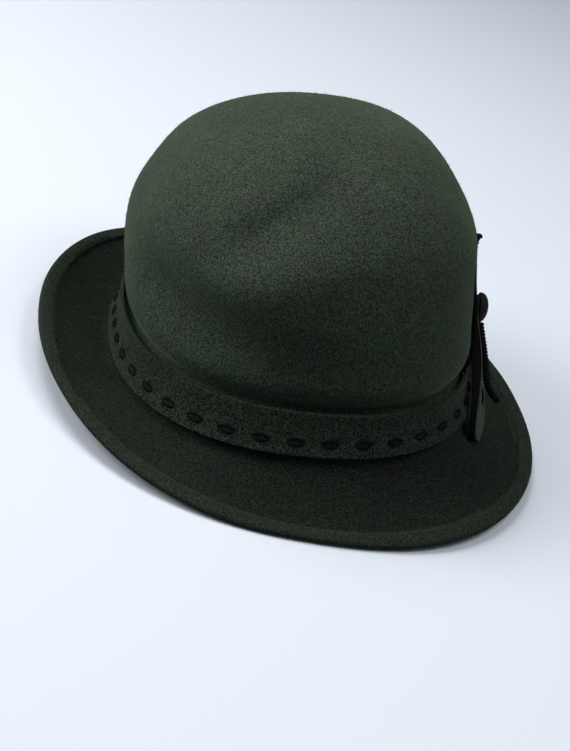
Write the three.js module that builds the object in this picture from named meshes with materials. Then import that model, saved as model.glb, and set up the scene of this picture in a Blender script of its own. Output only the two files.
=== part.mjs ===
import * as THREE from "three";

// A wool-felt hat with a tall rounded crown and a curved brim, resting on its brim.
// Millimetres, +Z up, the wearer's left side at +X. The origin is under the middle of its box.

// Crown
const crownWidth = 172; // side to side over the fullest part
const crownDepth = 205.5; // front to back over the fullest part
const crownHeight = 134; // from the break line up the crown's own axis
const ovalPower = 2.3; // 2 is an ellipse, more is squarer
const domePower = 2.6; // how late the crown turns in towards its top
const feltWall = 2;

// Brim, measured from the break line, where crown turns into brim
const breakSpread = 6; // how far the break line lies outside the fullest oval
const brimWidth = 42.6;
const weltWidth = 8.5; // the edge, folded over on top
const weltLift = 1.8; // thickness of the folded layer
const weltStep = 0.15; // how far the folded layer's inner edge leans out as it rises
const footTurn = 6; // length of brim that belongs to the turn at the crown's foot
const footEase = 0.4; // how far the turn keeps to the crown and to the brim, as a share of its width

// Band
const bandHeight = 20.5;
const bandWall = 2;
const bandClearance = 0.5; // it lies this far off the crown
const bandOpening = 0.7; // its top edge stands off this much more
const bandFoot = 3.4; // height of its lower edge over the break line

// The hat settles on a table: the crown leans, and the felt is pressed flat where it touches
const leanSide = 6.4; // degrees, towards -X
const leanBack = 2.4; // degrees, towards +Y
const breakOverTable = 10.7; // height of the middle of the break line

// Side trim
const trimAzimuth = -9; // degrees round the crown from +X, to the button's middle
const trimHeight = 48; // from the break line up to the button's middle
const trimLean = 40; // degrees, by which the hanging pieces fall towards -Y
const trimClearance = 0.3;
const buttonDiameter = 15.4;
const buttonDome = 5.2;
const buttonRim = 1.2; // height of its straight rim
const tabLength = 73;
const tabTop = 5.5; // its top edge lies this far over the button's middle
const tabWidth = 15;
const tabWall = 2;
const tieLean = 14; // degrees, by which the tie runs up towards +Y
const tieLength = 28; // the cord lying up the crown, from the button's edge to its knot
const tieDiameter = 2.6;
const cordDiameter = 3.2; // the cord hanging free below the button

// Crown sections: up the axis as a share of crownHeight, fullness as a share of the dome's own half
// width, and how far the section sits over to +X as a share of crownWidth.
const crownSections = [
  { up: 0.0, full: 1.06, over: 0.0 },
  { up: 0.053, full: 1.036, over: 0.0 },
  { up: 0.107, full: 1.018, over: 0.0 },
  { up: 0.18, full: 0.975, over: 0.0 },
  { up: 0.26, full: 1.02, over: -0.003 },
  { up: 0.36, full: 1.047, over: -0.016 },
  { up: 0.54, full: 1.108, over: -0.027 },
  { up: 0.68, full: 1.163, over: -0.01 },
  { up: 0.8, full: 1.21, over: -0.009 },
  { up: 0.89, full: 1.245, over: 0.01 },
  { up: 0.96, full: 1.28, over: 0.036 },
  { up: 1.0, full: 1.32, over: 0.06 },
];

// Brim, every 30 degrees round from +X: width as a share of brimWidth, its fall in degrees below the
// break line, and its curl, by which it starts steeper than that fall and ends flatter.
const brimSections = [
  { azimuth: 0, width: 1.025, fall: 26, curl: 22 },
  { azimuth: 30, width: 1.005, fall: 21.5, curl: 14 },
  { azimuth: 60, width: 1.0, fall: 17, curl: 6 },
  { azimuth: 90, width: 1.0, fall: 5, curl: 2 },
  { azimuth: 120, width: 0.985, fall: -14, curl: 2 },
  { azimuth: 150, width: 0.93, fall: -28.5, curl: 6 },
  { azimuth: 180, width: 0.97, fall: -28, curl: 0 },
  { azimuth: 210, width: 0.975, fall: -18, curl: -4 },
  { azimuth: 240, width: 0.98, fall: 4.5, curl: 0 },
  { azimuth: 270, width: 0.985, fall: 23.5, curl: 11 },
  { azimuth: 300, width: 1.04, fall: 26.5, curl: 13 },
  { azimuth: 330, width: 1.03, fall: 28.5, curl: 13 },
];

// How far the band rides up over its level round the hat, as a share of bandHeight.
const bandRises = [
  { azimuth: 0, rise: 0.05 },
  { azimuth: 60, rise: 0.0 },
  { azimuth: 120, rise: 0.0 },
  { azimuth: 150, rise: 0.03 },
  { azimuth: 180, rise: 0.09 },
  { azimuth: 210, rise: 0.045 },
  { azimuth: 240, rise: 0.01 },
  { azimuth: 270, rise: 0.03 },
  { azimuth: 300, rise: 0.07 },
  { azimuth: 330, rise: 0.1 },
];

// Dents pressed into the crown: place round it and up it, half length and half width as shares of
// crownHeight, the turn of the long way from level, and depth as a share of crownHeight, less than 0
// where the felt swells out instead.
const dents = [
  { azimuth: 224, up: 0.42, long: 0.34, wide: 0.1, turn: -14, depth: 0.065 },
  { azimuth: 244, up: 0.37, long: 0.17, wide: 0.09, turn: -14, depth: 0.03 },
  { azimuth: 262, up: 0.56, long: 0.28, wide: 0.12, turn: -13, depth: -0.02 },
  { azimuth: 255, up: 0.77, long: 0.26, wide: 0.07, turn: 30, depth: 0.035 },
  { azimuth: 183, up: 0.72, long: 0.16, wide: 0.08, turn: 10, depth: 0.012 },
  { azimuth: 333, up: 0.86, long: 0.16, wide: 0.07, turn: -25, depth: 0.02 },
];

// Felt tab, down its length: place down it and middle's distance out of the crown as shares of
// tabLength, width as a share of tabWidth, and the turn of its face towards -Y.
const tabSections = [
  { down: 0.0, out: 0.03, width: 0.5, turn: 0 },
  { down: 0.03, out: 0.031, width: 0.68, turn: 0 },
  { down: 0.08, out: 0.035, width: 0.74, turn: 0 },
  { down: 0.18, out: 0.036, width: 0.72, turn: 0 },
  { down: 0.26, out: 0.054, width: 0.7, turn: 0 },
  { down: 0.35, out: 0.071, width: 0.7, turn: 2 },
  { down: 0.47, out: 0.088, width: 0.75, turn: 6 },
  { down: 0.6, out: 0.103, width: 0.86, turn: 13 },
  { down: 0.72, out: 0.114, width: 0.97, turn: 19 },
  { down: 0.82, out: 0.12, width: 1.0, turn: 22 },
  { down: 0.9, out: 0.12, width: 0.9, turn: 22 },
  { down: 0.96, out: 0.12, width: 0.68, turn: 22 },
  { down: 1.0, out: 0.12, width: 0.34, turn: 22 },
];

// The cord up the crown: place along it as a share of tieLength and thickness as a share of tieDiameter.
const tieSections = [
  { along: 0.0, thick: 1.0 },
  { along: 0.17, thick: 1.0 },
  { along: 0.34, thick: 1.0 },
  { along: 0.51, thick: 1.0 },
  { along: 0.68, thick: 1.0 },
  { along: 0.82, thick: 1.0 },
  { along: 0.86, thick: 1.1 },
  { along: 0.89, thick: 1.6 },
  { along: 0.94, thick: 1.8 },
  { along: 0.98, thick: 1.5 },
  { along: 1.0, thick: 0.9 },
];

// The free cord's middle line, from below the button to its cut end, in the part's own frame.
const cordRoute = [
  [82.0, -26.1, 63.7],
  [82.6, -28.1, 61.6],
  [83.4, -30.2, 59.4],
  [84.1, -32.3, 57.3],
  [84.8, -34.4, 55.2],
  [85.4, -36.7, 53.3],
  [85.9, -39.1, 51.4],
  [86.3, -41.5, 49.5],
  [86.7, -43.8, 47.6],
  [87.1, -46.1, 45.6],
  [87.7, -48.3, 43.6],
  [88.7, -50.4, 41.6],
  [90.3, -52.4, 39.9],
  [92.2, -54.3, 38.6],
  [94.2, -56.2, 37.5],
];

const degrees = Math.PI / 180;
const roundSteps = 72; // facets round the hat
const crownSteps = 16;
const crownCrowding = 1.35; // over 1 draws the crown's rings together towards its top
const footSteps = 4;
const turnSteps = 100; // steps in which the turn at the foot is searched for a height
const brimSteps = 4;
const edgeSteps = 4;
const bandSteps = 3;
const domeSteps = 5;
const buttonSides = 24;
const cordSides = 8;

// A smooth value from a table's column at x. With a period the table runs on round the hat.
function fromTable(rows, key, column, x, period = 0) {
  const place = period ? THREE.MathUtils.euclideanModulo(x, period) : x;
  const row = (i) => {
    const turns = period ? Math.floor(i / rows.length) : 0;
    const k = period ? i - turns * rows.length : THREE.MathUtils.clamp(i, 0, rows.length - 1);
    return { x: rows[k][key] + turns * period, y: rows[k][column] };
  };
  let i = 0;
  while (i < rows.length - 1 && rows[i + 1][key] <= place) {
    i += 1;
  }
  const [a, b, c, d] = [row(i - 1), row(i), row(i + 1), row(i + 2)];
  if (c.x === b.x) {
    return b.y;
  }
  const slope = (p, r) => (r.x === p.x ? 0 : (r.y - p.y) / (r.x - p.x));
  const gap = c.x - b.x;
  const t = (place - b.x) / gap;
  const rise = slope(a, c) * gap;
  const fall = slope(b, d) * gap;
  return b.y + t * (rise + t * (3 * (c.y - b.y) - 2 * rise - fall + t * (rise + fall - 2 * (c.y - b.y))));
}

// A point on the hat's oval at an azimuth in degrees, given its half width and half depth.
function oval(azimuth, halfWidth, halfDepth) {
  const c = Math.cos(azimuth * degrees);
  const s = Math.sin(azimuth * degrees);
  const x = halfWidth * Math.sign(c) * Math.abs(c) ** (2 / ovalPower);
  const y = halfDepth * Math.sign(s) * Math.abs(s) ** (2 / ovalPower);
  return new THREE.Vector2(x, y);
}

// The way straight out of the fullest oval at an azimuth.
function outward(azimuth) {
  const step = 0.5;
  const before = oval(azimuth - step, crownWidth / 2, crownDepth / 2);
  const after = oval(azimuth + step, crownWidth / 2, crownDepth / 2);
  return new THREE.Vector2(after.y - before.y, before.x - after.x).normalize();
}

// A point a distance outside the fullest oval and a height over the break line, on the hat's own axis.
function offOval(azimuth, out, height) {
  const p = oval(azimuth, crownWidth / 2, crownDepth / 2).addScaledVector(outward(azimuth), out);
  return new THREE.Vector3(p.x, p.y, height);
}

// How deep the dents press the crown in at a place.
function dentDepth(azimuth, up) {
  let depth = 0;
  for (const dent of dents) {
    const away = THREE.MathUtils.euclideanModulo(azimuth - dent.azimuth + 180, 360) - 180;
    const along = (away * degrees * (crownWidth + crownDepth)) / 4 / crownHeight;
    const rise = up - dent.up;
    const c = Math.cos(dent.turn * degrees);
    const s = Math.sin(dent.turn * degrees);
    const u = (along * c + rise * s) / dent.long;
    const v = (rise * c - along * s) / dent.wide;
    depth += dent.depth * crownHeight * Math.exp(-(u * u + v * v));
  }
  return depth;
}

// The crown's outer face at an azimuth and a share of its height.
function crownPoint(azimuth, up) {
  const dome = Math.sqrt(Math.max(0, 1 - up ** domePower));
  const full = fromTable(crownSections, "up", "full", up) * dome;
  const over = fromTable(crownSections, "up", "over", up) * crownWidth;
  const p = oval(azimuth, (full * crownWidth) / 2, (full * crownDepth) / 2);
  p.addScaledVector(outward(azimuth), -dentDepth(azimuth, up) * dome);
  return new THREE.Vector3(p.x + over, p.y, up * crownHeight);
}

// The share of the crown's height where the turn at its foot begins.
const footUp = crownSections[1].up;

// The heights of the band's rings, from its lower edge up, and the shares of the crown's height where
// the crown's rings lie: over the dome down to the band, then level with the band's rings, then at the
// foot.
const bandHeights = Array.from(
  { length: bandSteps + 1 },
  (_, k) => bandFoot + (bandHeight * k) / bandSteps
);
const bandUps = bandHeights.slice(1).map((height) => height / crownHeight).reverse();
const domeUps = Array.from({ length: crownSteps }, (_, i) => {
  const share = ((i + 1) / (crownSteps + 1)) ** crownCrowding;
  return 1 - (1 - bandUps[0]) * share;
});
const crownUps = [...domeUps, ...bandUps, footUp];

// How far the crown's outer face lies outside the fullest oval at a share of its height.
function crownSpread(azimuth, up) {
  const wall = crownPoint(azimuth, up);
  const full = oval(azimuth, crownWidth / 2, crownDepth / 2);
  return new THREE.Vector2(wall.x, wall.y).sub(full).dot(outward(azimuth));
}

// The top of the brim at an azimuth and a distance from the break line, as out and height.
function brimProfile(azimuth, distance) {
  const width = fromTable(brimSections, "azimuth", "width", azimuth, 360) * brimWidth;
  const fall = fromTable(brimSections, "azimuth", "fall", azimuth, 360) * degrees;
  const curl = fromTable(brimSections, "azimuth", "curl", azimuth, 360) * degrees;
  const t = (distance / brimWidth) * (width / brimWidth);
  const along = t * brimWidth;
  const sag = along * (1 - along / width) * Math.tan(curl);
  const out = breakSpread + along * Math.cos(fall) - sag * Math.sin(fall);
  return new THREE.Vector2(out, -along * Math.sin(fall) - sag * Math.cos(fall));
}

// The outer face along one azimuth, from the crown's foot through the turn to the brim.
function footProfile(azimuth) {
  const foot = new THREE.Vector2(crownSpread(azimuth, footUp), footUp * crownHeight);
  const aboveUp = crownSections[2].up;
  const above = new THREE.Vector2(crownSpread(azimuth, aboveUp), aboveUp * crownHeight);
  const down = foot.clone().sub(above).normalize();
  const end = brimProfile(azimuth, footTurn);
  const back = brimProfile(azimuth, footTurn - 1).sub(end);
  const handle = foot.distanceTo(end) * footEase;
  const first = foot.clone().addScaledVector(down, handle);
  const last = end.clone().addScaledVector(back.normalize(), handle);
  return new THREE.CubicBezierCurve(foot, first, last, end);
}

// The felt's path from the crown's top to the brim's edge along one azimuth. Each entry has its place
// on the hat's own axis and how much the folded edge thickens it there.
function feltPath(azimuth) {
  const path = crownUps.map((up) => ({ at: crownPoint(azimuth, up), lift: 0 }));
  const turn = footProfile(azimuth);
  for (let i = 1; i < footSteps; i += 1) {
    const p = turn.getPoint(i / footSteps);
    path.push({ at: offOval(azimuth, p.x, p.y), lift: 0 });
  }
  const weltStart = brimWidth - weltWidth;
  const edgeStart = brimWidth - (feltWall + weltLift) / 2;
  for (let i = 0; i <= brimSteps; i += 1) {
    const p = brimProfile(azimuth, footTurn + ((weltStart - footTurn) * i) / brimSteps);
    path.push({ at: offOval(azimuth, p.x, p.y), lift: 0 });
  }
  const lip = weltLift / 2;
  const rows = [
    { distance: weltStart + weltStep, lift: lip },
    { distance: weltStart + lip, lift: weltLift },
    { distance: (weltStart + edgeStart) / 2, lift: weltLift },
    { distance: edgeStart, lift: weltLift },
  ];
  for (const row of rows) {
    const p = brimProfile(azimuth, row.distance);
    path.push({ at: offOval(azimuth, p.x, p.y), lift: row.lift });
  }
  return path;
}

// From the hat's own axis to the table it rests on.
const settle = new THREE.Matrix4()
  .makeTranslation(0, 0, breakOverTable)
  .multiply(new THREE.Matrix4().makeRotationX(-leanBack * degrees))
  .multiply(new THREE.Matrix4().makeRotationY(-leanSide * degrees));

// A triangle mesh from rings of points of one length, closed at both ends by a point.
function closedRings(first, rings, last) {
  const n = rings[0].length;
  const points = [first, ...rings.flat(), last];
  const faces = [];
  const at = (ring, i) => 1 + ring * n + (i % n);
  for (let i = 0; i < n; i += 1) {
    faces.push(0, at(0, i), at(0, i + 1));
    for (let r = 0; r < rings.length - 1; r += 1) {
      faces.push(at(r, i), at(r + 1, i), at(r + 1, i + 1));
      faces.push(at(r, i), at(r + 1, i + 1), at(r, i + 1));
    }
    faces.push(at(rings.length - 1, i), points.length - 1, at(rings.length - 1, i + 1));
  }
  return fromPoints(points, faces);
}

function fromPoints(points, faces) {
  const geometry = new THREE.BufferGeometry().setFromPoints(points);
  geometry.setIndex(faces);
  return geometry;
}

// A closed sweep: each section is a ring of points, and the last joins the first.
function closedSweep(sections) {
  const n = sections[0].length;
  const m = sections.length;
  const faces = [];
  for (let i = 0; i < m; i += 1) {
    for (let j = 0; j < n; j += 1) {
      const a = i * n + j;
      const b = ((i + 1) % m) * n + j;
      const c = ((i + 1) % m) * n + ((j + 1) % n);
      const d = i * n + ((j + 1) % n);
      faces.push(a, b, c, a, c, d);
    }
  }
  return fromPoints(sections.flat(), faces);
}

const azimuths = Array.from({ length: roundSteps }, (_, i) => (360 * i) / roundSteps);

function hatBody() {
  const paths = azimuths.map(feltPath);
  const top = crownPoint(0, 1).applyMatrix4(settle);
  const rows = paths[0].length;
  // The outer face, set down on the table and pressed flat where it would go through it
  const outer = paths.map((path) =>
    path.map(({ at }) => {
      const p = at.clone().applyMatrix4(settle);
      p.z = Math.max(p.z, feltWall);
      return p;
    })
  );
  const normal = (i, j) => {
    const east = outer[(i + 1) % roundSteps][j].clone().sub(outer[(i + roundSteps - 1) % roundSteps][j]);
    const north = j === 0 ? top : outer[i][j - 1];
    const south = outer[i][Math.min(j + 1, rows - 1)];
    return south.clone().sub(north).cross(east).normalize();
  };
  const outside = [];
  const inside = [];
  for (let j = 0; j < rows; j += 1) {
    outside.push(outer.map((line, i) => line[j].clone().addScaledVector(normal(i, j), paths[i][j].lift)));
    inside.push(
      outer.map((line, i) => {
        const p = line[j].clone().addScaledVector(normal(i, j), -feltWall);
        p.z = Math.max(p.z, 0);
        return p;
      })
    );
  }
  // The rounded edge between the folded top and the underside
  const edge = [];
  for (let k = 1; k < edgeSteps; k += 1) {
    const turn = (Math.PI * k) / edgeSteps;
    edge.push(
      azimuths.map((_, i) => {
        const up = outside[rows - 1][i];
        const down = inside[rows - 1][i];
        const middle = up.clone().add(down).multiplyScalar(0.5);
        const half = up.clone().sub(down).multiplyScalar(0.5);
        const out = outer[i][rows - 1].clone().sub(outer[i][rows - 2]).normalize();
        middle.addScaledVector(half, Math.cos(turn)).addScaledVector(out, half.length() * Math.sin(turn));
        middle.z = Math.max(middle.z, 0);
        return middle;
      })
    );
  }
  const under = new THREE.Vector3(0, 0, -feltWall).transformDirection(settle);
  const innerTop = top.clone().addScaledVector(under, feltWall);
  return closedRings(top, [...outside, ...edge, ...inside.reverse()], innerTop);
}

// How far the felt's outer face lies outside the fullest oval at a height over the break line.
function wallSpread(azimuth, height) {
  const up = height / crownHeight;
  if (up < footUp) {
    const crownHalf = footProfile(azimuth).getPoints(turnSteps).slice(0, turnSteps / 2);
    return (crownHalf.find((p) => p.y <= height) ?? crownHalf.at(-1)).x;
  }
  return crownSpread(azimuth, up);
}

function hatBand() {
  const sections = azimuths.map((azimuth) => {
    const inner = [];
    const outer = [];
    const rise = fromTable(bandRises, "azimuth", "rise", azimuth, 360) * bandHeight;
    for (const level of bandHeights) {
      const height = level + rise;
      const share = (level - bandFoot) / bandHeight;
      const spread = wallSpread(azimuth, height) + bandClearance + bandOpening * share ** 3;
      inner.push(offOval(azimuth, spread, height).applyMatrix4(settle));
      outer.push(offOval(azimuth, spread + bandWall, height).applyMatrix4(settle));
    }
    return [...outer, ...inner.reverse()];
  });
  return closedSweep(sections);
}

// The trim's own axes where the button's middle meets the crown: out of it, across it towards +Y, and
// up its lean.
const trimOrigin = crownPoint(trimAzimuth, trimHeight / crownHeight);
const trimOut = new THREE.Vector3(outward(trimAzimuth).x, outward(trimAzimuth).y, 0);
const trimAcross = new THREE.Vector3(-trimOut.y, trimOut.x, 0).applyAxisAngle(trimOut, -trimLean * degrees);
const trimUp = trimOut.clone().cross(trimAcross);
const trimFrame = new THREE.Matrix4()
  .makeBasis(trimOut, trimAcross, trimUp)
  .setPosition(trimOrigin)
  .premultiply(settle);

function feltTab() {
  const half = tabWall / 2;
  const corner = tabWall / 4;
  const rings = tabSections.map(({ down, out, width, turn }) => {
    const side = (width * tabWidth) / 2;
    const c = Math.cos(turn * degrees);
    const s = Math.sin(turn * degrees);
    const section = [
      [half, corner - side],
      [half, side - corner],
      [half - corner, side],
      [corner - half, side],
      [-half, side - corner],
      [-half, corner - side],
      [corner - half, -side],
      [half - corner, -side],
    ];
    return section.map(([face, across]) => {
      const x = out * tabLength + face * c + across * s;
      const y = across * c - face * s;
      return new THREE.Vector3(x, y, tabTop - down * tabLength).applyMatrix4(trimFrame);
    });
  });
  return closedRings(middleOf(rings[0]), rings, middleOf(rings[rings.length - 1]));
}

function middleOf(ring) {
  const sum = new THREE.Vector3();
  ring.forEach((p) => sum.add(p));
  return sum.divideScalar(ring.length);
}

// The domed button, turned about the way out of the crown, its flat back just off the tab.
function domeButton() {
  const radius = buttonDiameter / 2;
  const back = tabSections[3].out * tabLength + tabWall / 2 + trimClearance;
  const dome = buttonDome - buttonRim;
  const profile = [new THREE.Vector2(0, 0), new THREE.Vector2(radius, 0)];
  for (let i = 0; i < domeSteps; i += 1) {
    const turn = ((Math.PI / 2) * i) / domeSteps;
    profile.push(new THREE.Vector2(radius * Math.cos(turn), buttonRim + dome * Math.sin(turn)));
  }
  profile.push(new THREE.Vector2(0, buttonDome));
  const button = new THREE.LatheGeometry(profile, buttonSides);
  button.rotateZ(-Math.PI / 2);
  button.translate(back, 0, 0);
  return button.applyMatrix4(trimFrame);
}

// The cord tied up the crown from the button's edge, round in section, with its knot at the end.
function tieCord() {
  const start = buttonDiameter / 2 + trimClearance;
  const middles = tieSections.map(({ along, thick }) => {
    const way = start + along * tieLength;
    const y = trimOrigin.y + way * Math.sin(tieLean * degrees);
    const up = (trimHeight + way * Math.cos(tieLean * degrees)) / crownHeight;
    const share = Math.abs((2 * y) / crownDepth) ** (ovalPower / 2);
    const azimuth = (Math.sign(y) * Math.asin(share)) / degrees;
    const off = outward(azimuth).multiplyScalar((thick * tieDiameter) / 2 + trimClearance);
    return crownPoint(azimuth, up).add(new THREE.Vector3(off.x, off.y, 0));
  });
  const path = new THREE.CatmullRomCurve3(middles);
  const rings = tieSections.map(({ thick }, i) => {
    const along = path.getTangent(i / (tieSections.length - 1));
    const out = trimOut.clone().cross(along).cross(along).negate().normalize();
    const across = along.clone().cross(out);
    return Array.from({ length: cordSides }, (_, k) => {
      const turn = (2 * Math.PI * k) / cordSides;
      const radius = (thick * tieDiameter) / 2;
      const p = middles[i].clone().addScaledVector(out, radius * Math.cos(turn));
      return p.addScaledVector(across, -radius * Math.sin(turn)).applyMatrix4(settle);
    });
  });
  const end = (i) => middles[i].clone().applyMatrix4(settle);
  return closedRings(end(0), rings, end(middles.length - 1));
}

// The cord hanging free, extruded along its route.
function freeCord() {
  const section = new THREE.Shape().absarc(0, 0, cordDiameter / 2, 0, 2 * Math.PI);
  const path = new THREE.CatmullRomCurve3(cordRoute.map((p) => new THREE.Vector3(...p)));
  const steps = Math.ceil(path.getLength() / (2 * cordDiameter));
  return new THREE.ExtrudeGeometry(section, {
    steps,
    curveSegments: cordSides,
    bevelEnabled: false,
    extrudePath: path,
  });
}

const wool = new THREE.MeshStandardMaterial({ color: 0x2b3629, roughness: 0.95, metalness: 0 });
const bandWool = new THREE.MeshStandardMaterial({ color: 0x272f26, roughness: 0.95, metalness: 0 });
const tabWool = new THREE.MeshStandardMaterial({ color: 0x3c473b, roughness: 0.95, metalness: 0 });
const buttonCover = new THREE.MeshStandardMaterial({ color: 0x171a1b, roughness: 0.7, metalness: 0 });
const chenille = new THREE.MeshStandardMaterial({ color: 0x15181f, roughness: 0.9, metalness: 0 });

const hat = new THREE.Group();

function add(name, geometry, material) {
  const mesh = new THREE.Mesh(geometry, material);
  mesh.name = name;
  hat.add(mesh);
  return mesh;
}

add("hat_body", hatBody(), wool);
add("hat_band", hatBand(), bandWool);
add("felt_tab", feltTab(), tabWool);
add("dome_button", domeButton(), buttonCover);
add("tie_cord", tieCord(), chenille);

// The origin goes under the middle of the hat's box
const box = new THREE.Box3().setFromObject(hat);
hat.position.set(-(box.min.x + box.max.x) / 2, -(box.min.y + box.max.y) / 2, -box.min.z);
add("free_cord", freeCord(), chenille).position.copy(hat.position).negate();

export default hat;
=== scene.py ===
"""Dresses the felt hat: fine felt, stitches, trim, lint, floor, light and camera."""

import math
import random

import bmesh
import bpy
from bpy.props import (
    FloatProperty,
    FloatVectorProperty,
    IntProperty,
    PointerProperty,
)
from mathutils import Euler, Matrix, Vector
from mathutils.bvhtree import BVHTree


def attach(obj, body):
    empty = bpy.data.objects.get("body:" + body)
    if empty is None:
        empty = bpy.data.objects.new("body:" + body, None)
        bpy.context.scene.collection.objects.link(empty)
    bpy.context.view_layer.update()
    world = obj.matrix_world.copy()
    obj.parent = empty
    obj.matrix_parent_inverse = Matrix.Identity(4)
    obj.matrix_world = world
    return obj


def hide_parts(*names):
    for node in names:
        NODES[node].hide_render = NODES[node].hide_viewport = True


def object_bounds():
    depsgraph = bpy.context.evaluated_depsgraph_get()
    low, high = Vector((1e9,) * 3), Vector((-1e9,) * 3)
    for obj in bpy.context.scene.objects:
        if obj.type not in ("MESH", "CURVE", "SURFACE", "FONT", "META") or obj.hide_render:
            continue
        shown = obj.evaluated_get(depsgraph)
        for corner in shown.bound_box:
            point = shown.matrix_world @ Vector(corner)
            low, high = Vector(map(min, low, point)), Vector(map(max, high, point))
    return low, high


bl_info = {
    "name": "Felt Hat",
    "version": (1, 0, 0),
    "blender": (4, 5, 0),
    "location": "View3D > Sidebar > Felt Hat",
    "description": "Builds the looks of a stitched felt hat on its solid model",
    "category": "Add Mesh",
}

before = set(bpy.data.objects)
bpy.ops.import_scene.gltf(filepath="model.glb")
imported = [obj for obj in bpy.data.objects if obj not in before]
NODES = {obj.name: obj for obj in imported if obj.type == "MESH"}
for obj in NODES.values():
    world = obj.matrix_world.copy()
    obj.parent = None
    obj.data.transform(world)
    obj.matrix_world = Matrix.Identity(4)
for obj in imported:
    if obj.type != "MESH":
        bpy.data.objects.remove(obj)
CAD_LOW, CAD_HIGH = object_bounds()
MM = 0.001

# The free cord's middle line, from below the button to its cut end
CORD_ROUTE = [
    (0.0820, -0.0261, 0.0637),
    (0.0826, -0.0281, 0.0616),
    (0.0834, -0.0302, 0.0594),
    (0.0841, -0.0323, 0.0573),
    (0.0848, -0.0344, 0.0552),
    (0.0854, -0.0367, 0.0533),
    (0.0859, -0.0391, 0.0514),
    (0.0863, -0.0415, 0.0495),
    (0.0867, -0.0438, 0.0476),
    (0.0871, -0.0461, 0.0456),
    (0.0877, -0.0483, 0.0436),
    (0.0887, -0.0504, 0.0416),
    (0.0903, -0.0524, 0.0399),
    (0.0922, -0.0543, 0.0386),
    (0.0942, -0.0562, 0.0375),
]


def linear(colour):
    """Linear RGB from an sRGB hex value."""
    channels = [((colour >> shift) & 255) / 255 for shift in (16, 8, 0)]
    return [c / 12.92 if c <= 0.04045 else ((c + 0.055) / 1.055) ** 2.4 for c in channels]


def rgba(colour):
    return (*linear(colour), 1.0)


def ramp(value, start, length):
    """0 up to the start, and from there evenly up to 1."""
    return min(1.0, max(0.0, (value - start) / length))


def bell(value, middle, wide):
    """1 at the middle, falling off smoothly on both sides."""
    return math.exp(-(((value - middle) / wide) ** 2))


# Heights below are over the middle of the band, square to its level.
# Soft dents and swellings of the crown, finer than the solid model's: place round it and height, half
# length, half width, the turn of the long way from level, and depth, less than 0 for a swelling.
# Angles are in degrees and lengths in millimetres.
SOFT_DENTS = [
    {"azimuth": 226, "height": 47, "long": 34, "wide": 12, "turn": -6, "depth": 1.5},
    {"azimuth": 232, "height": 22, "long": 40, "wide": 11, "turn": -6, "depth": -2.5},
    {"azimuth": 246, "height": 86, "long": 22, "wide": 8, "turn": 40, "depth": 3.0},
    {"azimuth": 262, "height": 100, "long": 22, "wide": 8, "turn": 25, "depth": 2.5},
    {"azimuth": 262, "height": 72, "long": 36, "wide": 10, "turn": 18, "depth": -2.5},
]
CROWN_RADIUS = 94 * MM
# Dents press towards this height on the crown's axis, and fade out above the band over this way
CORE_HEIGHT = 55 * MM
DENT_START = 8 * MM
DENT_FADE = 12 * MM
# The crown is drawn in at the band's top and swells over it, so that a dark gap shows between them:
# height, half width and depth in millimetres, less than 0 for the swelling
NECK = [
    {"height": 9.5, "wide": 3.5, "depth": 3.0},
    {"height": 19, "wide": 6, "depth": -1.3},
]

# Width of the brim's folded edge, and where the crown ends and the brim begins: this far outside the
# band, and further out by this share of the height, because the crown bulges there
# These mark out the brim's darker felt, painted shade, and its folded edge's lighter felt, painted
# light
FOLDED_EDGE = 9.3 * MM
BRIM_START = 3 * MM
BRIM_SLANT = 0.35

# The solid band's section has this many corners, and this is about half its height
BAND_CORNERS = 8
BAND_HALF = 10 * MM
# How far the band's top and foot stand out, and how far its foot is lifted off the brim
TOP_FLARE = 1.8 * MM
FOOT_FLARE = 0.9 * MM
FOOT_LIFT = 1.3 * MM

# The felt of each piece: its material's name, how light it is beside the dyed colours, and how
# strongly its fibres show. The brim's felt is made darker than the crown's as painted shade, and the
# folded edge's and the tab's felt lighter as painted light
FELTS = {
    "crown": ("Fulled wool felt, crown", 1.45, 0.62),
    "brim": ("Fulled wool felt, brim, painted shade", 0.41, 0.85),
    "folded edge": ("Fulled wool felt, folded edge, painted light", 0.7, 0.62),
    "band": ("Band wool felt", 0.8, 0.92),
    "tab": ("Tab wool felt, painted light", 1.9, 0.62),
}

# Share of the loose fibres on each piece, and how many are made at a time, because a small mesh takes
# new cones much faster
LINT_SHARES = {"felt_body": 0.88, "felt_band": 0.12}
FIBRES_PER_BATCH = 250

# Each light's name, place, width in metres and power in watts, and the point they all face
LIGHTS = [
    ("Behind", (-0.45, 0.45, 1.36), 0.7, 9.2),
    ("Low left", (-1.27, 0.07, 0.8), 1.0, 14.8),
    ("High right", (0.52, -0.36, 1.36), 0.7, 6.8),
]
LIGHTS_FACE = Vector((0, 0, 0.07))

# Settings


class HatStitchSettings(bpy.types.PropertyGroup):
    pitch: FloatProperty(
        name="Pitch",
        description="Distance from one stitch to the next along the band",
        default=15.8 * MM,
        unit="LENGTH",
    )
    start: FloatProperty(
        name="Start",
        description="How far round the band the first stitch lies",
        default=5.7 * MM,
        unit="LENGTH",
    )
    drop: FloatProperty(
        name="Drop",
        description="How far the row lies below the middle of the band",
        default=1.0 * MM,
        unit="LENGTH",
    )
    length: FloatProperty(
        name="Length", description="Length of a stitch", default=9.5 * MM, unit="LENGTH"
    )
    thread: FloatProperty(
        name="Thread",
        description="Thickness of each of its two threads",
        default=1.5 * MM,
        unit="LENGTH",
    )
    spread: FloatProperty(
        name="Spread",
        description="How far the two threads part in the middle of a stitch",
        default=2.7 * MM,
        unit="LENGTH",
    )


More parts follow.
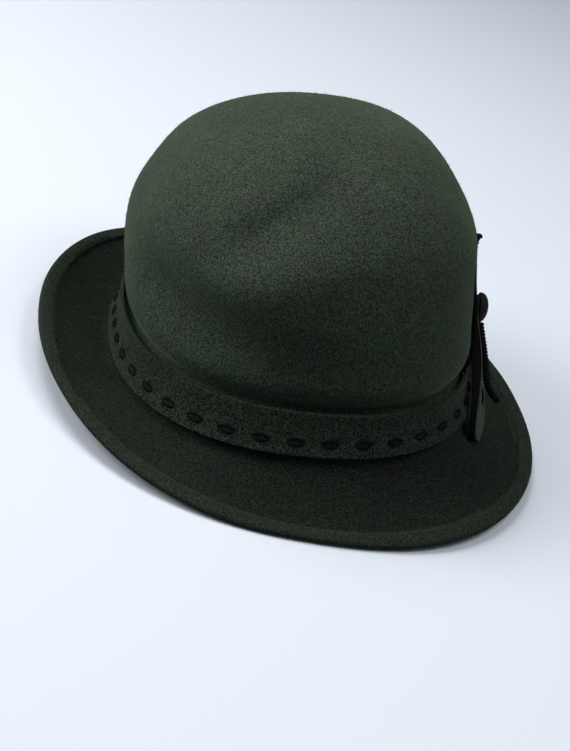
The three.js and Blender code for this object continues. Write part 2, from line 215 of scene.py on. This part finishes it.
class HatTrimSettings(bpy.types.PropertyGroup):
    pile: FloatProperty(
        name="Pile",
        description="Half the thickness of the free cord over its pile",
        default=1.85 * MM,
        unit="LENGTH",
    )
    rib: FloatProperty(
        name="Rib",
        description="Distance between two rows of the free cord's pile",
        default=1.8 * MM,
        unit="LENGTH",
    )
    # The black block behind the tab is painted shade; these two settings set its depth
    painted_shade: FloatProperty(
        name="Painted shade",
        description="Depth of the dark lining behind the tab",
        default=2.0 * MM,
        unit="LENGTH",
    )
    fullness: FloatProperty(
        name="Fullness",
        description="How much deeper the lining is where the tab leaves the crown",
        default=2.2 * MM,
        unit="LENGTH",
    )
    turn: FloatProperty(
        name="Tab turn", description="Slope by which the tab turns to the front", default=0.12
    )


class HatColourSettings(bpy.types.PropertyGroup):
    felt_green: FloatVectorProperty(
        name="Felt, green wool",
        description="Forest green wool that most of the felt is made of",
        subtype="COLOR",
        size=3,
        default=linear(0x283629),
    )
    felt_brown: FloatVectorProperty(
        name="Felt, brown wool",
        description="Olive brown wool mixed into the green",
        subtype="COLOR",
        size=3,
        default=linear(0x2B3228),
    )
    thread: FloatVectorProperty(
        name="Thread",
        description="Near-black wool of the stitches and the chenille",
        subtype="COLOR",
        size=3,
        default=linear(0x090A0D),
    )


class HatLintSettings(bpy.types.PropertyGroup):
    fibres: IntProperty(
        name="Fibres", description="Loose fibres that stand off the felt", default=16000, min=0
    )
    length: FloatProperty(
        name="Length", description="Length of a loose fibre", default=1.6 * MM, unit="LENGTH"
    )
    width: FloatProperty(
        name="Width", description="Width of a loose fibre", default=0.12 * MM, unit="LENGTH"
    )


class HatStageSettings(bpy.types.PropertyGroup):
    eye: FloatVectorProperty(
        name="Camera place",
        description="Where the camera stands",
        subtype="TRANSLATION",
        size=3,
        default=(-0.1756, -0.6873, 0.3724),
    )
    turn: FloatVectorProperty(
        name="Camera turn",
        description="How the camera is turned, about X, Y and Z",
        subtype="EULER",
        size=3,
        default=[math.radians(a) for a in (61.067, -15.713, -5.917)],
    )
    lens: FloatProperty(name="Lens", description="Focal length in millimetres", default=73.753)
    floor: FloatProperty(
        name="Floor", description="Width of the floor", default=6.0, unit="LENGTH"
    )


# Materials


def add_node(material, kind, inputs=None, **settings):
    """A shader node with its settings, and its inputs as values or as other nodes' outputs."""
    tree = material.node_tree
    node = tree.nodes.new(kind)
    for name, value in settings.items():
        setattr(node, name, value)
    for name, value in (inputs or {}).items():
        if isinstance(value, bpy.types.NodeSocket):
            tree.links.new(value, node.inputs[name])
        else:
            node.inputs[name].default_value = value
    return node


def new_material(name):
    material = bpy.data.materials.new(name)
    material.use_nodes = True
    material.node_tree.nodes.clear()
    return material


def finish_material(material, **inputs):
    """Ends a material in a Principled shader with these inputs."""
    named = {name.replace("_", " "): value for name, value in inputs.items()}
    shader = add_node(material, "ShaderNodeBsdfPrincipled", named)
    add_node(material, "ShaderNodeOutputMaterial", {"Surface": shader.outputs["BSDF"]})
    return material


def mix_colours(material, factor, first, second, blend="MIX"):
    """Two colours mixed. The node's sockets for colours are its seventh and eighth."""
    node = add_node(material, "ShaderNodeMix", data_type="RGBA", blend_type=blend)
    tree = material.node_tree
    sockets = (node.inputs[0], node.inputs[6], node.inputs[7])
    for socket, value in zip(sockets, (factor, first, second)):
        if isinstance(value, bpy.types.NodeSocket):
            tree.links.new(value, socket)
        else:
            socket.default_value = value
    return node.outputs[2]


def noise(material, place, size, detail=2.0, roughness=0.5, distortion=0.0):
    """Noise whose lumps are about size metres across."""
    node = add_node(
        material,
        "ShaderNodeTexNoise",
        {
            "Vector": place,
            "Scale": 1 / size,
            "Detail": detail,
            "Roughness": roughness,
            "Distortion": distortion,
        },
    )
    return node.outputs["Fac"]


def stretch(material, value, low, high, bottom=0.0, top=1.0):
    """A value's range from low to high, spread over the range from bottom to top."""
    node = add_node(
        material,
        "ShaderNodeMapRange",
        {"Value": value, "From Min": low, "From Max": high, "To Min": bottom, "To Max": top},
    )
    return node.outputs["Result"]


def wool_felt(name, green, brown, tone, grain):
    """Fulled wool felt, dyed in the wool and blocked over a form. Fibres of several greens and
    browns are matted in all directions, so the eye sees curled fibres half a millimetre wide, each
    with a dark gap beside it, patches of greener and browner wool, and a pale bloom where the face
    turns away. The fibres are drawn far coarser than real ones of 0.02 mm, so that they show."""
    felt = new_material(name)
    place = add_node(felt, "ShaderNodeTexCoord").outputs["Object"]
    curled = curl(felt, place, 1.2 * MM, 0.5 * MM)
    fibres = noise(felt, curled, 0.72 * MM, detail=1.0, roughness=0.5)
    tufts = noise(felt, place, 2.6 * MM, detail=2, roughness=0.6)
    patches = noise(felt, place, 15 * MM, detail=2, roughness=0.5, distortion=0.4)
    clouds = noise(felt, place, 45 * MM, detail=2)
    matted = stretch(felt, fibres, 0.38, 0.62)
    shades = []
    for colour in (green, brown):
        grey = sum(colour) / 3
        dark = [c * tone * (1 - grain) for c in colour]
        light = [(c * 0.8 + grey * 0.2) * tone * (1 + grain) for c in colour]
        shades.append(mix_colours(felt, matted, (*dark, 1), (*light, 1)))
    base = mix_colours(felt, stretch(felt, patches, 0.38, 0.62), *shades)
    worn = stretch(felt, tufts, 0.3, 0.7, 0.84, 1.16)
    base = mix_colours(felt, 1.0, base, worn, blend="MULTIPLY")
    faded = stretch(felt, clouds, 0.35, 0.65, 0.93, 1.07)
    base = mix_colours(felt, 1.0, base, faded, blend="MULTIPLY")
    height = add_node(
        felt,
        "ShaderNodeMath",
        {0: fibres, 1: stretch(felt, tufts, 0.3, 0.7, 0.0, 0.8)},
        operation="ADD",
    ).outputs[0]
    bump = add_node(
        felt, "ShaderNodeBump", {"Height": height, "Strength": 0.6, "Distance": 0.4 * MM}
    )
    return finish_material(
        felt,
        Base_Color=base,
        Roughness=0.92,
        Specular_IOR_Level=0.15,
        Sheen_Weight=0.2 * tone,
        Sheen_Roughness=0.32,
        Sheen_Tint=rgba(0xA9C79C),
        Normal=bump.outputs["Normal"],
    )


def felt_of(context, piece):
    """The hat's felt as it looks on one piece."""
    name, tone, grain = FELTS[piece]
    colours = context.scene.hat_colours
    return wool_felt(name, colours.felt_green, colours.felt_brown, tone, grain)


def curl(material, place, size, amount):
    """The place, pushed about by noise of that size, so that straight edges curl as fibres do."""
    push = add_node(
        material, "ShaderNodeTexNoise", {"Vector": place, "Scale": 1 / size, "Detail": 1.0}
    ).outputs["Color"]
    centred = add_node(
        material, "ShaderNodeVectorMath", {0: push, 1: (0.5, 0.5, 0.5)}, operation="SUBTRACT"
    ).outputs[0]
    scaled = add_node(
        material, "ShaderNodeVectorMath", {0: centred, "Scale": amount * 2}, operation="SCALE"
    ).outputs[0]
    return add_node(
        material, "ShaderNodeVectorMath", {0: place, 1: scaled}, operation="ADD"
    ).outputs[0]


def wool_thread(name, colour):
    """Soft spun wool: a dull near-black that leans to blue, with slightly paler hairs, which are
    drawn half a millimetre wide so that they show."""
    wool = new_material(name)
    place = add_node(wool, "ShaderNodeTexCoord").outputs["Object"]
    hairs = noise(wool, place, 0.5 * MM, detail=3, roughness=0.7, distortion=1.0)
    lighter = [c * 1.8 for c in colour]
    base = mix_colours(wool, stretch(wool, hairs, 0.4, 0.75), (*colour, 1), (*lighter, 1))
    relief = add_node(
        wool, "ShaderNodeBump", {"Height": hairs, "Strength": 0.6, "Distance": 0.2 * MM}
    )
    return finish_material(
        wool,
        Base_Color=base,
        Roughness=0.85,
        Specular_IOR_Level=0.1,
        Normal=relief.outputs["Normal"],
    )


def button_cloth(name):
    """Fine black wool cloth pulled over a domed button: a close weave with a low dull gloss. The
    weave is drawn at 0.45 mm, about as coarse as its real thread spacing."""
    cloth = new_material(name)
    place = add_node(cloth, "ShaderNodeTexCoord").outputs["Object"]
    weave = noise(cloth, place, 0.45 * MM, detail=2, roughness=0.6)
    tone = noise(cloth, place, 4 * MM, detail=2)
    base = mix_colours(cloth, stretch(cloth, tone, 0.35, 0.7), rgba(0x08090A), rgba(0x121312))
    relief = add_node(
        cloth, "ShaderNodeBump", {"Height": weave, "Strength": 0.4, "Distance": 0.15 * MM}
    )
    return finish_material(
        cloth,
        Base_Color=base,
        Roughness=0.65,
        Specular_IOR_Level=0.2,
        Normal=relief.outputs["Normal"],
    )


def studio_paper(name):
    """Seamless white paper, matt, so that the floor runs into the background."""
    paper = new_material(name)
    return finish_material(paper, Base_Color=rgba(0xE9F0F9), Roughness=1.0, Specular_IOR_Level=0.0)


def loose_wool(name):
    """Loose wool fibres that catch the light: paler and greyer than the felt under them."""
    wool = new_material(name)
    return finish_material(wool, Base_Color=rgba(0x4A564A), Roughness=0.9, Specular_IOR_Level=0.1)


# Meshes


def merged_copy(node):
    """A CAD node's triangles as one joined mesh of four-sided faces, ready to be subdivided."""
    mesh = bmesh.new()
    mesh.from_mesh(NODES[node].data)
    bmesh.ops.remove_doubles(mesh, verts=mesh.verts, dist=0.002 * MM)
    bmesh.ops.join_triangles(
        mesh,
        faces=mesh.faces,
        angle_face_threshold=math.radians(50),
        angle_shape_threshold=math.pi,
    )
    return mesh


def new_piece(name, mesh, material, replaces=()):
    """An object of the finished mesh that rides with the hat."""
    data = bpy.data.meshes.new(name)
    mesh.to_mesh(data)
    mesh.free()
    data.polygons.foreach_set("use_smooth", [True] * len(data.polygons))
    data.materials.append(material)
    piece = bpy.data.objects.new(name, data)
    bpy.context.scene.collection.objects.link(piece)
    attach(piece, "root")
    if replaces:
        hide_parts(*replaces)
    return piece


def apply_modifiers(piece):
    """Turns a piece's modifiers into its own mesh."""
    shown = piece.evaluated_get(bpy.context.evaluated_depsgraph_get())
    plain = piece.data
    piece.data = bpy.data.meshes.new_from_object(shown)
    piece.modifiers.clear()
    bpy.data.meshes.remove(plain)


def dent_depth(azimuth, height):
    """How deep the soft dents are at a place on the crown."""
    depth = 0.0
    for dent in SOFT_DENTS:
        away = azimuth - math.radians(dent["azimuth"])
        along = ((away + math.pi) % (2 * math.pi) - math.pi) * CROWN_RADIUS
        rise = height - dent["height"] * MM
        turn = math.radians(dent["turn"])
        u = (along * math.cos(turn) + rise * math.sin(turn)) / (dent["long"] * MM)
        v = (rise * math.cos(turn) - along * math.sin(turn)) / (dent["wide"] * MM)
        depth += dent["depth"] * MM * math.exp(-(u * u + v * v))
    return depth * ramp(height, DENT_START, DENT_FADE)


def neck_depth(height):
    """How far the crown is drawn in at a height."""
    return sum(n["depth"] * MM * bell(height / MM, n["height"], n["wide"]) for n in NECK)


def press_crown(data, middle, up):
    """Shapes the crown's neck and soft dents, both faces of the felt alike."""
    crown = {i for face in data.polygons if face.material_index == 0 for i in face.vertices}
    east = (Vector((1, 0, 0)) - up * up.x).normalized()
    north = up.cross(east)
    core = middle + up * CORE_HEIGHT
    for vertex in data.vertices:
        if vertex.index not in crown:
            continue
        place = vertex.co - middle
        height = place.dot(up)
        azimuth = math.atan2(place.dot(north), place.dot(east))
        vertex.co -= (place - up * height).normalized() * neck_depth(height)
        vertex.co += (core - vertex.co).normalized() * dent_depth(azimuth, height)


def subdivide(piece, levels):
    smooth = piece.modifiers.new("Smooth", "SUBSURF")
    smooth.levels = levels
    smooth.render_levels = levels


def soften_rims(mesh, width, segments=2, corner=50):
    """Rounds every edge that is sharper than a corner angle in degrees."""
    rims = [e for e in mesh.edges if e.is_manifold and e.calc_face_angle() > math.radians(corner)]
    bmesh.ops.bevel(
        mesh,
        geom=rims,
        offset=width,
        segments=segments,
        profile=0.5,
        affect="EDGES",
        material=-1,
    )


def shown_surface(piece):
    """The surface of a piece with its modifiers, to set things down on."""
    return BVHTree.FromObject(piece, bpy.context.evaluated_depsgraph_get())


def sweep(mesh, points, radii, sides):
    """A closed round tube along points, made by bridging circles set square to the path."""
    before = []
    up = Vector((0, 0, 1))
    last = len(points) - 1
    for i, point in enumerate(points):
        along = (points[min(i + 1, last)] - points[max(i - 1, 0)]).normalized()
        across = along.cross(up)
        if across.length < 0.1:
            across = along.cross(Vector((1, 0, 0)))
        across.normalize()
        up = across.cross(along).normalized()
        turn = Matrix((across, up, along)).transposed().to_4x4()
        made = bmesh.ops.create_circle(
            mesh,
            cap_ends=i in (0, last),
            segments=sides,
            radius=radii[i],
            matrix=Matrix.Translation(point) @ turn,
        )
        ring = list(dict.fromkeys(e for v in made["verts"] for e in v.link_edges))
        if before:
            bmesh.ops.bridge_loops(mesh, edges=before + ring)
        before = ring


def turn_outward(mesh):
    bmesh.ops.recalc_face_normals(mesh, faces=mesh.faces)


# Pieces


class HAT_OT_felt_body(bpy.types.Operator):
    """Crown and brim as one smooth skin of felt"""

    bl_idname = "hat.felt_body"
    bl_label = "Felt body"

    def execute(self, context):
        mesh = merged_copy("hat_body")
        line = band_middle()
        middle, up = band_plane(line)
        self.sort_faces(mesh, line, middle, up)
        piece = new_piece("felt_body", mesh, felt_of(context, "crown"), ["hat_body"])
        # The brim's darker felt is painted shade, and the folded edge's lighter felt is painted light
        piece.data.materials.append(felt_of(context, "brim"))
        piece.data.materials.append(felt_of(context, "folded edge"))
        subdivide(piece, 1)
        apply_modifiers(piece)
        press_crown(piece.data, middle, up)
        subdivide(piece, 1)
        return {"FINISHED"}

    @staticmethod
    def sort_faces(mesh, line, middle, up):
        """Numbers each face's felt: 0 for the crown, 1 for the brim, whose darker felt is painted
        shade, 2 for its folded edge, whose lighter felt is painted light.
        """
        spokes = [p - middle for p in line]
        ways = [spoke.normalized() for spoke in spokes]
        points = [v.co - middle for v in mesh.verts]
        rims = []
        for spoke in spokes:
            way = (spoke - up * spoke.dot(up)).normalized()
            rims.append(max(p.dot(way) for p in points))
        for face in mesh.faces:
            place = face.calc_center_median() - middle
            height = place.dot(up)
            level = place - up * height
            k = max(range(len(ways)), key=lambda i: ways[i].dot(level))
            foot = spokes[k].length + BRIM_START + BRIM_SLANT * height
            if level.length > rims[k] - FOLDED_EDGE:
                face.material_index = 2
            elif height < 0 or level.length > foot:
                face.material_index = 1


class HAT_OT_felt_band(bpy.types.Operator):
    """The felt band round the foot of the crown"""

    bl_idname = "hat.felt_band"
    bl_label = "Felt band"

    def execute(self, context):
        mesh = merged_copy("hat_band")
        middle, up = band_plane(band_middle())
        for vertex in mesh.verts:
            place = vertex.co - middle
            height = place.dot(up)
            out = (place - up * height).normalized()
            high = max(0.0, height / BAND_HALF)
            low = max(0.0, -height / BAND_HALF)
            vertex.co += out * (TOP_FLARE * high**2 + FOOT_FLARE * low**2) + up * FOOT_LIFT * low**4
        soften_rims(mesh, 0.45 * MM)
        piece = new_piece("felt_band", mesh, felt_of(context, "band"), ["hat_band"])
        subdivide(piece, 2)
        return {"FINISHED"}


def band_middle():
    """Points round the hat in the middle of the band's section, in order."""
    mesh = merged_copy("hat_band")
    middle = sum((v.co for v in mesh.verts), Vector()) / len(mesh.verts)
    around = sorted(
        (v.co.copy() for v in mesh.verts),
        key=lambda p: math.atan2(p.y - middle.y, p.x - middle.x),
    )
    mesh.free()
    starts = range(0, len(around), BAND_CORNERS)
    return [sum(around[i : i + BAND_CORNERS], Vector()) / BAND_CORNERS for i in starts]


def band_plane(points):
    """The middle of the band's level, and the way up out of the hat."""
    middle = sum(points, Vector()) / len(points)
    up = Vector()
    for a, b in zip(points, points[1:]):
        up += (a - middle).cross(b - middle)
    return middle, up.normalized()


def steps_along(points, start, pitch):
    """Places at an even pitch round a closed line, with the way it runs there."""
    lengths = [(points[(i + 1) % len(points)] - p).length for i, p in enumerate(points)]
    total = sum(lengths)
    count = round(total / pitch)
    places = []
    for k in range(count):
        way = (start + k * total / count) % total
        i = 0
        while way > lengths[i]:
            way -= lengths[i]
            i += 1
        ahead = (points[(i + 1) % len(points)] - points[i]).normalized()
        places.append((points[i] + ahead * way, ahead))
    return places


def add_stitch(mesh, surface, place, ahead, up, settings, tilt):
    """Two threads that part in the middle and dive into the felt at both ends. Their points are
    found from outside the band, and lie half sunk at the ends and proud of it between them."""
    steps = 10
    out = ahead.cross(up).normalized()
    across = (up + ahead * math.tan(tilt)).normalized()
    for side in (-1, 1):
        points = []
        radii = []
        for i in range(steps + 1):
            share = i / steps
            bow = math.sin(math.pi * share)
            off = side * settings.spread / 2 * bow**0.7
            near = place + ahead * ((share - 0.5) * settings.length) + across * off
            spot, facing, _, _ = surface.find_nearest(near + out * 6 * MM)
            lift = settings.thread * (0.6 * min(1.0, bow * 1.6) - 0.3)
            points.append(spot + facing * lift)
            radii.append(settings.thread / 2 * (0.55 + 0.45 * bow))
        sweep(mesh, points, radii, 8)


class HAT_OT_running_stitches(bpy.types.Operator):
    """The row of large wool stitches along the band"""

    bl_idname = "hat.running_stitches"
    bl_label = "Running stitches"

    def execute(self, context):
        settings = context.scene.hat_stitches
        dice = random.Random(7)
        surface = shown_surface(bpy.data.objects["felt_band"])
        mesh = bmesh.new()
        line = band_middle()
        up = band_plane(line)[1]
        for place, ahead in steps_along(line, settings.start, settings.pitch):
            low = place - up * settings.drop
            tilt = math.radians(dice.uniform(-5, 5))
            add_stitch(mesh, surface, low, ahead, up, settings, tilt)
        turn_outward(mesh)
        wool = wool_thread("Two-ply wool thread", context.scene.hat_colours.thread)
        piece = new_piece("band_stitches", mesh, wool)
        subdivide(piece, 1)
        return {"FINISHED"}


class HAT_OT_tab_and_button(bpy.types.Operator):
    """The felt tab with its stitch, and the domed cloth button"""

    bl_idname = "hat.tab_and_button"
    bl_label = "Tab and button"

    def execute(self, context):
        mesh = merged_copy("felt_tab")
        middle = sum((v.co for v in mesh.verts), Vector()) / len(mesh.verts)
        out = Vector((middle.x, middle.y, 0)).normalized()
        front = out.cross(Vector((0, 0, 1)))
        if front.y > 0:
            front = -front
        self.shape_tab(mesh, middle, out, front, context.scene.hat_trim)
        soften_rims(mesh, 0.2 * MM, corner=40)
        # The tab's felt is made lighter as painted light
        tab = new_piece("felt_tab_fine", mesh, felt_of(context, "tab"), ["felt_tab"])
        # The tab's back and sides get a black material, painted shade
        tab.data.materials.append(wool_thread("Black wool lining", linear(0x0A0B0A)))
        subdivide(tab, 2)
        self.add_tab_stitch(context, tab, middle + front * 6 * MM, out)
        mesh = merged_copy("dome_button")
        soften_rims(mesh, 0.3 * MM)
        button = new_piece(
            "dome_button_fine", mesh, button_cloth("Button cloth"), ["dome_button"]
        )
        subdivide(button, 2)
        return {"FINISHED"}

    @staticmethod
    def shape_tab(mesh, middle, out, front, settings):
        """Deepens the tab's back and sides into a black block, painted shade that stands for the
        shadow behind the tab, and turns its lower part so that its face shows from the front. Drops
        are below the tab's top, in millimetres."""
        top = max(v.co.z for v in mesh.verts)
        # Faces that do not face out take the black material, painted shade
        for face in mesh.faces:
            face.material_index = int(face.normal.dot(out) < 0.45)
        for vertex in {v for f in mesh.faces if f.normal.dot(out) < -0.4 for v in f.verts}:
            drop = (top - vertex.co.z) / MM
            deep = settings.painted_shade + settings.fullness * bell(drop, 26, 8)
            vertex.co -= out * deep * ramp(drop, 10, 8)
        reach = max((v.co - middle).dot(front) for v in mesh.verts)
        for vertex in mesh.verts:
            drop = (top - vertex.co.z) / MM
            back = reach - (vertex.co - middle).dot(front)
            vertex.co += out * back * settings.turn * ramp(drop, 10, 34)

    @staticmethod
    def add_tab_stitch(context, tab, middle, out):
        """One upright stitch on the face of the tab, 24 mm up from its point and 8 mm long."""
        surface = shown_surface(tab)
        low = min((v.co.copy() for v in tab.data.vertices), key=lambda p: p.z)
        way = (middle - low).normalized()
        place = low + way * 24 * MM
        mesh = bmesh.new()
        points = []
        steps = 8
        for i in range(steps + 1):
            share = i / steps
            near = place + way * (share - 0.5) * 8 * MM
            spot, facing, _, _ = surface.find_nearest(near + out * 5 * MM)
            points.append(spot + facing * (0.7 * math.sin(math.pi * share) - 0.3) * MM)
        sweep(mesh, points, [0.8 * MM] * len(points), 8)
        turn_outward(mesh)
        wool = wool_thread("Tab stitch wool", context.scene.hat_colours.thread)
        subdivide(new_piece("tab_stitch", mesh, wool), 1)


def smooth_route(points, steps):
    """Points along a smooth curve through the given ones, with the sharpest turns eased."""
    curve = []
    for i in range(len(points) - 1):
        before = points[max(i - 1, 0)]
        a, b = points[i], points[i + 1]
        after = points[min(i + 2, len(points) - 1)]
        for k in range(steps):
            t = k / steps
            first = (b - before) / 2
            last = (after - a) / 2
            curve.append(
                a * (2 * t**3 - 3 * t**2 + 1)
                + first * (t**3 - 2 * t**2 + t)
                + b * (3 * t**2 - 2 * t**3)
                + last * (t**3 - t**2)
            )
    curve.append(points[-1])
    return curve


def ribbed_tube(mesh, points, radii, pitch, depth):
    """A tube along a line whose thickness rises and falls at each row of pile, and whose ends are
    drawn in a little."""
    way = 0.0
    route = []
    sizes = []
    per_rib = 6
    for i, (a, b) in enumerate(zip(points, points[1:])):
        span = (b - a).length
        steps = max(1, round(span * per_rib / pitch))
        for k in range(steps):
            share = k / steps
            turn = 2 * math.pi * (way + span * share) / pitch
            radius = radii[i] + (radii[i + 1] - radii[i]) * share
            route.append(a.lerp(b, share))
            sizes.append(radius * (1 - depth * (0.5 + 0.5 * math.cos(turn))))
        way += span
    route.append(points[-1])
    sizes.append(radii[-1] * 0.6)
    sizes[0] *= 0.8
    sweep(mesh, route, sizes, 12)


def tube_middles(node, sides):
    """The middle and the radius of each ring of a CAD tube, from its lowest to its highest."""
    mesh = merged_copy(node)
    places = sorted((v.co.copy() for v in mesh.verts), key=lambda p: p.z)
    mesh.free()
    way = (places[-1] - places[0]).normalized()
    places.sort(key=lambda p: p.dot(way))
    rings = [places[1 + i : 1 + i + sides] for i in range(0, len(places) - 2, sides)]
    middles = [sum(ring, Vector()) / sides for ring in rings]
    return middles, [(ring[0] - middle).length for ring, middle in zip(rings, middles)]


class HAT_OT_chenille(bpy.types.Operator):
    """The tie up the crown with its knot, and the cord that hangs below the button"""

    bl_idname = "hat.chenille"
    bl_label = "Chenille"

    def execute(self, context):
        settings = context.scene.hat_trim
        wool = wool_thread("Chenille wool", context.scene.hat_colours.thread)
        route = smooth_route([Vector(p) for p in CORD_ROUTE], 3)
        mesh = bmesh.new()
        ribbed_tube(mesh, route, [settings.pile] * len(route), settings.rib, 0.24)
        turn_outward(mesh)
        cord = new_piece("free_cord_fine", mesh, wool, ["free_cord"])
        # The tie's foot goes on down to the button
        middles, radii = tube_middles("tie_cord", 8)
        foot = middles[0] + (middles[0] - middles[1]).normalized() * 2.6 * MM
        mesh = bmesh.new()
        ribbed_tube(mesh, [foot, *middles], [radii[0], *radii], 1.5 * MM, 0.2)
        turn_outward(mesh)
        new_piece("tie_cord_fine", mesh, wool, ["tie_cord"])
        return {"FINISHED"}


class HAT_OT_lint(bpy.types.Operator):
    """Loose fibres that stand off the felt of the crown, the brim and the band"""

    bl_idname = "hat.lint"
    bl_label = "Lint"

    def execute(self, context):
        settings = context.scene.hat_lint
        dice = random.Random(11)
        shown = context.evaluated_depsgraph_get()
        total = bmesh.new()
        for name, share in LINT_SHARES.items():
            piece = bpy.data.objects[name].evaluated_get(shown)
            data = piece.to_mesh()
            areas = [face.area for face in data.polygons]
            count = round(settings.fibres * share)
            picks = dice.choices(range(len(areas)), weights=areas, k=count)
            for start in range(0, count, FIBRES_PER_BATCH):
                batch = picks[start : start + FIBRES_PER_BATCH]
                self.add_fibres(total, data, batch, settings, dice)
            piece.to_mesh_clear()
        new_piece("lint", total, loose_wool("Loose wool fibres"))
        return {"FINISHED"}

    @staticmethod
    def add_fibres(total, data, picks, settings, dice):
        """One batch of fibres, each a thin three-sided cone that leans at random and has its root in
        the felt. None is made so low that it could reach through the floor."""
        batch = bmesh.new()
        for pick in picks:
            face = data.polygons[pick]
            lean = Vector([dice.uniform(-1, 1) for _ in range(3)])
            way = (face.normal * 0.75 + lean).normalized()
            if way.dot(face.normal) < 0.05:
                way = (way + face.normal * 0.4).normalized()
            length = settings.length * dice.uniform(0.5, 1.2)
            middle = face.center + way * length * 0.48
            if middle.z < CAD_LOW.z + length:
                continue
            lie = way.to_track_quat("Z", "Y").to_matrix().to_4x4()
            bmesh.ops.create_cone(
                batch,
                cap_ends=True,
                segments=3,
                radius1=settings.width / 2,
                radius2=settings.width / 8,
                depth=length,
                matrix=Matrix.Translation(middle) @ lie,
            )
        spare = bpy.data.meshes.new("batch")
        batch.to_mesh(spare)
        batch.free()
        total.from_mesh(spare)
        bpy.data.meshes.remove(spare)


# Floor, light and camera


class HAT_OT_stage(bpy.types.Operator):
    """Pale floor, soft studio light and the camera"""

    bl_idname = "hat.stage"
    bl_label = "Stage"

    def execute(self, context):
        scene = context.scene
        settings = scene.hat_stage
        mesh = bmesh.new()
        bmesh.ops.create_grid(mesh, x_segments=1, y_segments=1, size=settings.floor / 2)
        bmesh.ops.translate(mesh, verts=mesh.verts, vec=(0, 0, CAD_LOW.z))
        data = bpy.data.meshes.new("floor")
        mesh.to_mesh(data)
        mesh.free()
        data.materials.append(studio_paper("Studio paper"))
        floor = bpy.data.objects.new("floor", data)
        scene.collection.objects.link(floor)
        # It throws no light back up, as a backdrop well below the hat would not
        floor.visible_diffuse = False

        world = bpy.data.worlds.new("Studio")
        world.use_nodes = True
        background = world.node_tree.nodes["Background"]
        background.inputs["Color"].default_value = rgba(0xE9F1FA)
        background.inputs["Strength"].default_value = 0.16
        scene.world = world
        scene.view_settings.view_transform = "Standard"

        for light in LIGHTS:
            self.add_light(scene, *light)

        data = bpy.data.cameras.new("Camera")
        data.lens = settings.lens
        data.sensor_width = 36
        data.clip_start = 0.02
        data.clip_end = 50
        camera = bpy.data.objects.new("Camera", data)
        camera.location = settings.eye
        camera.rotation_euler = Euler(settings.turn)
        scene.collection.objects.link(camera)
        scene.camera = camera
        return {"FINISHED"}

    @staticmethod
    def add_light(scene, name, place, size, power):
        data = bpy.data.lights.new(name, "AREA")
        data.size = size
        data.energy = power
        light = bpy.data.objects.new(name, data)
        light.location = place
        aim = LIGHTS_FACE - light.location
        light.rotation_euler = aim.to_track_quat("-Z", "Y").to_euler()
        scene.collection.objects.link(light)


class HAT_PT_panel(bpy.types.Panel):
    """Lists the hat's pieces and settings"""

    bl_idname = "HAT_PT_panel"
    bl_label = "Felt Hat"
    bl_space_type = "VIEW_3D"
    bl_region_type = "UI"
    bl_category = "Felt Hat"

    def draw(self, context):
        layout = self.layout
        for operator in OPERATORS:
            layout.operator(operator.bl_idname)
        for name in SETTINGS:
            box = layout.box()
            group = getattr(context.scene, name)
            for setting in group.bl_rna.properties:
                if setting.identifier not in {"rna_type", "name"}:
                    box.prop(group, setting.identifier)


OPERATORS = [
    HAT_OT_stage,
    HAT_OT_chenille,
    HAT_OT_felt_body,
    HAT_OT_felt_band,
    HAT_OT_running_stitches,
    HAT_OT_tab_and_button,
    HAT_OT_lint,
]
SETTINGS = {
    "hat_stitches": HatStitchSettings,
    "hat_trim": HatTrimSettings,
    "hat_colours": HatColourSettings,
    "hat_lint": HatLintSettings,
    "hat_stage": HatStageSettings,
}


def register():
    for cls in [*SETTINGS.values(), *OPERATORS, HAT_PT_panel]:
        bpy.utils.register_class(cls)
    for name, cls in SETTINGS.items():
        setattr(bpy.types.Scene, name, PointerProperty(type=cls))


def unregister():
    for name in SETTINGS:
        delattr(bpy.types.Scene, name)
    for cls in reversed([*SETTINGS.values(), *OPERATORS, HAT_PT_panel]):
        bpy.utils.unregister_class(cls)


def main():
    register()
    for operator in OPERATORS:
        group, name = operator.bl_idname.split(".")
        getattr(getattr(bpy.ops, group), name)()


if __name__ == "__main__":
    main()
